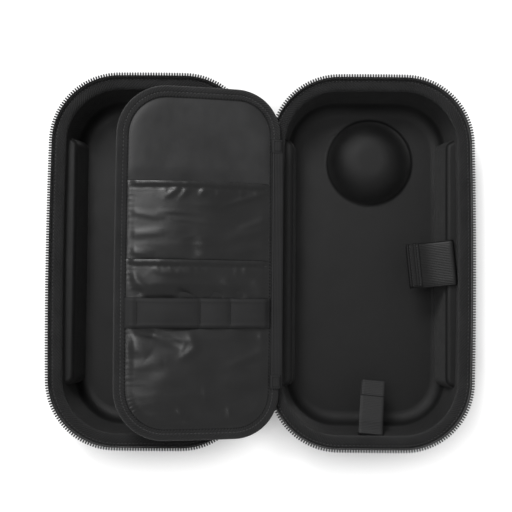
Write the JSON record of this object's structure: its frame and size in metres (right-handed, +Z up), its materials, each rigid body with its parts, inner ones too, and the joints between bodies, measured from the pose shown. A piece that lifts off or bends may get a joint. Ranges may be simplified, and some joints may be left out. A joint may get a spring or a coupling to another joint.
{
  "type": "hard tool case",
  "caption": "Open zip-up moulded case: two half shells joined by a fabric spine, a hinged divider flap with pockets and elastic loops, and webbing straps inside.",
  "frame": {"origin": "centre of the open case's footprint, on the surface both backs rest on", "axes": "+X across the spine towards the half with the straps, +Y along the spine towards the end with the round boss, +Z up out of the open shells"},
  "size_m": [0.3558, 0.3128, 0.0913],
  "materials": {
    "shell_foam": "matte",
    "rim_binding": "matte",
    "zip_tape": "matte",
    "spine_cloth": "matte",
    "zip_coil": "satin",
    "zip_metal": "satin",
    "board": "matte",
    "flap_cloth": "satin",
    "elastic": "matte",
    "webbing": "matte"
  },
  "bodies": {
    "base": {"base_shell": "shell_foam", "base_binding": "rim_binding", "base_zip_tape": "zip_tape", "base_zip_coil": "zip_coil", "hinge_strip": "webbing", "tool_strap_anchor": "webbing", "tab_anchor": "webbing"},
    "spine": {"spine_panel": "spine_cloth", "zip_end_upper": "zip_tape", "zip_end_lower": "zip_tape", "zip_chain_upper": "zip_coil", "zip_chain_lower": "zip_coil"},
    "lid": {"lid_shell": "shell_foam", "lid_binding": "rim_binding", "lid_zip_tape": "zip_tape", "lid_zip_coil": "zip_coil"},
    "flap": {"flap_board": "board", "flap_front": "flap_cloth", "flap_back": "flap_cloth", "flap_binding": "rim_binding", "pocket_upper": "flap_cloth", "pocket_lower": "flap_cloth", "elastic_band": "elastic", "flap_hinge_tape": "webbing"},
    "slider_upper": {"slider_upper": "zip_metal"},
    "slider_lower": {"slider_lower": "zip_metal"},
    "pull_upper": {"pull_upper": "zip_metal"},
    "pull_lower": {"pull_lower": "zip_metal"},
    "tool_strap": {"tool_strap": "webbing", "tool_strap_end": "webbing"},
    "tab": {"tab_strap": "webbing", "tab_end": "webbing"}
  },
  "joints": [
    {"name": "spine_fold", "type": "hinge", "parent": "base", "child": "spine", "pos_m": [0.0075, 0, 0.05], "axis": [0, 1, 0], "range_deg": [0, 90]},
    {"name": "lid_fold", "type": "hinge", "parent": "spine", "child": "lid", "pos_m": [-0.0075, 0, 0.05], "axis": [0, 1, 0], "range_deg": [0, 90]},
    {"name": "flap_turn", "type": "hinge", "parent": "base", "child": "flap", "pos_m": [0.0185, -0.002, 0.057], "axis": [0, 1, 0], "range_deg": [0, 167]},
    {"name": "slider_upper_run", "type": "slide", "parent": "spine", "child": "slider_upper", "axis": [0, 1, 0], "range_m": [0, 0.006]},
    {"name": "slider_lower_run", "type": "slide", "parent": "spine", "child": "slider_lower", "axis": [0, -1, 0], "range_m": [0, 0.006]},
    {"name": "pull_upper_swing", "type": "hinge", "parent": "slider_upper", "child": "pull_upper", "pos_m": [0, 0.1038, 0.04685], "axis": [1, 0, 0], "range_deg": [-85, 85]},
    {"name": "pull_lower_swing", "type": "hinge", "parent": "slider_lower", "child": "pull_lower", "pos_m": [0, -0.1038, 0.04685], "axis": [1, 0, 0], "range_deg": [-85, 85]},
    {"name": "tool_strap_press", "type": "hinge", "parent": "base", "child": "tool_strap", "pos_m": [0.163, 0.00097, 0.0434], "axis": [0.1045, -0.9945, 0], "range_deg": [0, 25]},
    {"name": "tab_press", "type": "hinge", "parent": "base", "child": "tab", "pos_m": [0.09253, -0.14244, 0.0434], "axis": [-0.9945, 0.1045, 0], "range_deg": [0, 20]}
  ],
  "couplings": [
    {"joint": "lid_fold", "follows": "spine_fold", "ratio": 1},
    {"joint": "flap_turn", "follows": "spine_fold", "ratio": 1.8555}
  ]
}
